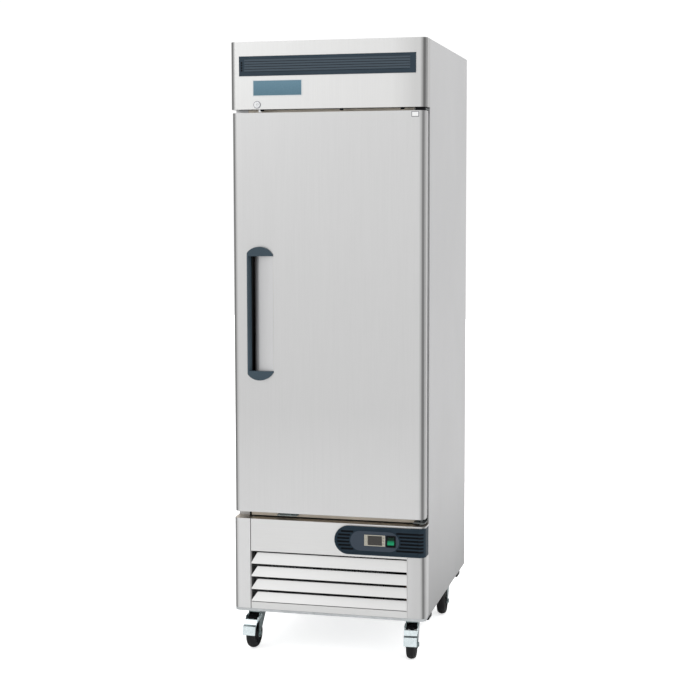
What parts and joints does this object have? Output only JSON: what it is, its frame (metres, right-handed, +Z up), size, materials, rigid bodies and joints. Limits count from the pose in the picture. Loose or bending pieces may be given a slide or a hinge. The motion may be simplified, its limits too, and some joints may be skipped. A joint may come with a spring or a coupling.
{
  "type": "reach-in refrigerator",
  "caption": "One-section upright kitchen refrigerator with a hinged solid door, inside wire shelves, louvred bottom machine bay, control strip and braked swivel casters.",
  "frame": {"origin": "middle of the footprint on the floor under the casters, midway between the handle front and the rear panel", "axes": "+X to the right seen from the door side, +Y towards the rear panel, +Z up"},
  "size_m": [0.68, 0.848, 2.11],
  "materials": {
    "stainless": "satin",
    "liner_metal": "satin",
    "galvanised": "satin",
    "zinc": "satin",
    "foam": "matte",
    "breaker_plastic": "matte",
    "dark_plastic": "satin",
    "handle_plastic": "satin",
    "badge": "gloss",
    "bezel": "satin",
    "window": "gloss",
    "switch_black": "gloss",
    "switch_green": "gloss",
    "black_metal": "satin",
    "coil_metal": "satin",
    "copper": "satin",
    "lamp_cover": "satin",
    "gasket": "matte",
    "tag": "gloss",
    "lock_metal": "polished",
    "wire": "satin",
    "wheel_rubber": "matte"
  },
  "bodies": {
    "cabinet": {"side_panels": "stainless", "front_frame": "stainless", "back_deck_sheet": "galvanised", "top_panel": "stainless", "cabinet_foam": "foam", "inner_liner": "liner_metal", "breaker_frame": "breaker_plastic", "top_fascia": "stainless", "vent_grille": "dark_plastic", "badge_plate": "badge", "lock_barrel": "lock_metal", "hinge_brackets": "zinc", "base_frame": "galvanised", "lower_posts": "stainless", "louver_panel": "stainless", "control_housing": "dark_plastic", "controller": "bezel", "display_window": "window", "switch_frame": "switch_black", "compressor": "black_metal", "condenser_coil": "coil_metal", "fan_shroud": "black_metal", "refrigerant_tubes": "copper", "condensate_pan": "dark_plastic", "evaporator_cover": "liner_metal", "evaporator_coil": "coil_metal", "lamp": "lamp_cover", "pilasters": "liner_metal", "shelf_clips": "zinc", "caster_plates": "zinc", "screws": "zinc", "rear_vent_cover": "galvanised"},
    "door": {"door_skin": "stainless", "door_liner": "liner_metal", "door_foam": "foam", "door_gasket": "gasket", "handle_grip": "handle_plastic", "handle_cup": "stainless", "door_tag": "tag"},
    "lock_plug_body": {"lock_plug": "lock_metal"},
    "lock_bolt_body": {"lock_bolt": "lock_metal"},
    "rocker_body": {"rocker": "switch_green"},
    "key_1_body": {"key_1": "bezel"},
    "key_2_body": {"key_2": "bezel"},
    "key_3_body": {"key_3": "bezel"},
    "shelf_1_body": {"shelf_1": "wire"},
    "shelf_2_body": {"shelf_2": "wire"},
    "shelf_3_body": {"shelf_3": "wire"},
    "condenser_fan_body": {"condenser_fan": "coil_metal"},
    "evaporator_fan_body": {"evaporator_fan": "dark_plastic"},
    "fork_fl_body": {"fork_fl": "zinc"},
    "wheel_fl_body": {"wheel_fl": "wheel_rubber"},
    "fork_fr_body": {"fork_fr": "zinc"},
    "wheel_fr_body": {"wheel_fr": "wheel_rubber"},
    "fork_rl_body": {"fork_rl": "zinc"},
    "wheel_rl_body": {"wheel_rl": "wheel_rubber"},
    "fork_rr_body": {"fork_rr": "zinc"},
    "wheel_rr_body": {"wheel_rr": "wheel_rubber"},
    "pedal_fl_body": {"pedal_fl": "zinc"},
    "pedal_fr_body": {"pedal_fr": "zinc"}
  },
  "joints": [
    {"name": "door_hinge", "type": "hinge", "parent": "cabinet", "child": "door", "pos_m": [0.32, -0.376, 1.18], "axis": [0, 0, 1], "range_deg": [0, 115], "stiffness_Nm_per_rad": 2},
    {"name": "control_rocker", "type": "hinge", "parent": "cabinet", "child": "rocker_body", "pos_m": [0.2225, -0.408, 0.418], "axis": [1, 0, 0], "range_deg": [0, 14]},
    {"name": "control_key_1", "type": "slide", "parent": "cabinet", "child": "key_1_body", "axis": [0, 1, 0], "range_m": [0, 0.0006], "stiffness_N_per_m": 250},
    {"name": "control_key_2", "type": "slide", "parent": "cabinet", "child": "key_2_body", "axis": [0, 1, 0], "range_m": [0, 0.0006], "stiffness_N_per_m": 250},
    {"name": "control_key_3", "type": "slide", "parent": "cabinet", "child": "key_3_body", "axis": [0, 1, 0], "range_m": [0, 0.0006], "stiffness_N_per_m": 250},
    {"name": "lock_turn", "type": "hinge", "parent": "cabinet", "child": "lock_plug_body", "pos_m": [-0.244, -0.406, 1.898], "axis": [0, 1, 0], "range_deg": [0, 90]},
    {"name": "lock_bolt_drop", "type": "slide", "parent": "cabinet", "child": "lock_bolt_body", "axis": [0, 0, 1], "range_m": [-0.0113, 0]},
    {"name": "shelf_1_lift", "type": "slide", "parent": "cabinet", "child": "shelf_1_body", "axis": [0, 0, 1], "range_m": [0, 0.05]},
    {"name": "shelf_2_lift", "type": "slide", "parent": "cabinet", "child": "shelf_2_body", "axis": [0, 0, 1], "range_m": [0, 0.05]},
    {"name": "shelf_3_lift", "type": "slide", "parent": "cabinet", "child": "shelf_3_body", "axis": [0, 0, 1], "range_m": [0, 0.05]},
    {"name": "swivel_fl", "type": "hinge", "parent": "cabinet", "child": "fork_fl_body", "pos_m": [-0.281, -0.318, 0.13], "axis": [0, 0, 1], "continuous": true},
    {"name": "wheel_spin_fl", "type": "hinge", "parent": "fork_fl_body", "child": "wheel_fl_body", "pos_m": [-0.28299, -0.35595, 0.05], "axis": [0.9986, -0.0523, 0], "continuous": true},
    {"name": "wheel_brake_fl", "type": "hinge", "parent": "fork_fl_body", "child": "pedal_fl_body", "pos_m": [-0.28257, -0.34796, 0.113], "axis": [0.9986, -0.0523, 0], "range_deg": [0, 5]},
    {"name": "swivel_fr", "type": "hinge", "parent": "cabinet", "child": "fork_fr_body", "pos_m": [0.281, -0.318, 0.13], "axis": [0, 0, 1], "continuous": true},
    {"name": "wheel_spin_fr", "type": "hinge", "parent": "fork_fr_body", "child": "wheel_fr_body", "pos_m": [0.28431, -0.35585, 0.05], "axis": [0.9962, 0.0872, 0], "continuous": true},
    {"name": "wheel_brake_fr", "type": "hinge", "parent": "fork_fr_body", "child": "pedal_fr_body", "pos_m": [0.28362, -0.34789, 0.113], "axis": [0.9962, 0.0872, 0], "range_deg": [0, 5]},
    {"name": "swivel_rl", "type": "hinge", "parent": "cabinet", "child": "fork_rl_body", "pos_m": [-0.288, 0.252, 0.13], "axis": [0, 0, 1], "continuous": true},
    {"name": "wheel_spin_rl", "type": "hinge", "parent": "fork_rl_body", "child": "wheel_rl_body", "pos_m": [-0.29329, 0.21437, 0.05], "axis": [0.9903, -0.1392, 0], "continuous": true},
    {"name": "swivel_rr", "type": "hinge", "parent": "cabinet", "child": "fork_rr_body", "pos_m": [0.288, 0.252, 0.13], "axis": [0, 0, 1], "continuous": true},
    {"name": "wheel_spin_rr", "type": "hinge", "parent": "fork_rr_body", "child": "wheel_rr_body", "pos_m": [0.28933, 0.21402, 0.05], "axis": [0.9994, 0.0349, 0], "continuous": true},
    {"name": "fan_condenser", "type": "hinge", "parent": "cabinet", "child": "condenser_fan_body", "pos_m": [-0.04, -0.261, 0.255], "axis": [0, 1, 0], "continuous": true},
    {"name": "fan_evaporator", "type": "hinge", "parent": "cabinet", "child": "evaporator_fan_body", "pos_m": [0, -0.116, 1.87], "axis": [0, 0, 1], "continuous": true}
  ],
  "couplings": [
    {"joint": "lock_turn", "follows": "lock_bolt_drop", "rad_per_m": -138.89}
  ]
}
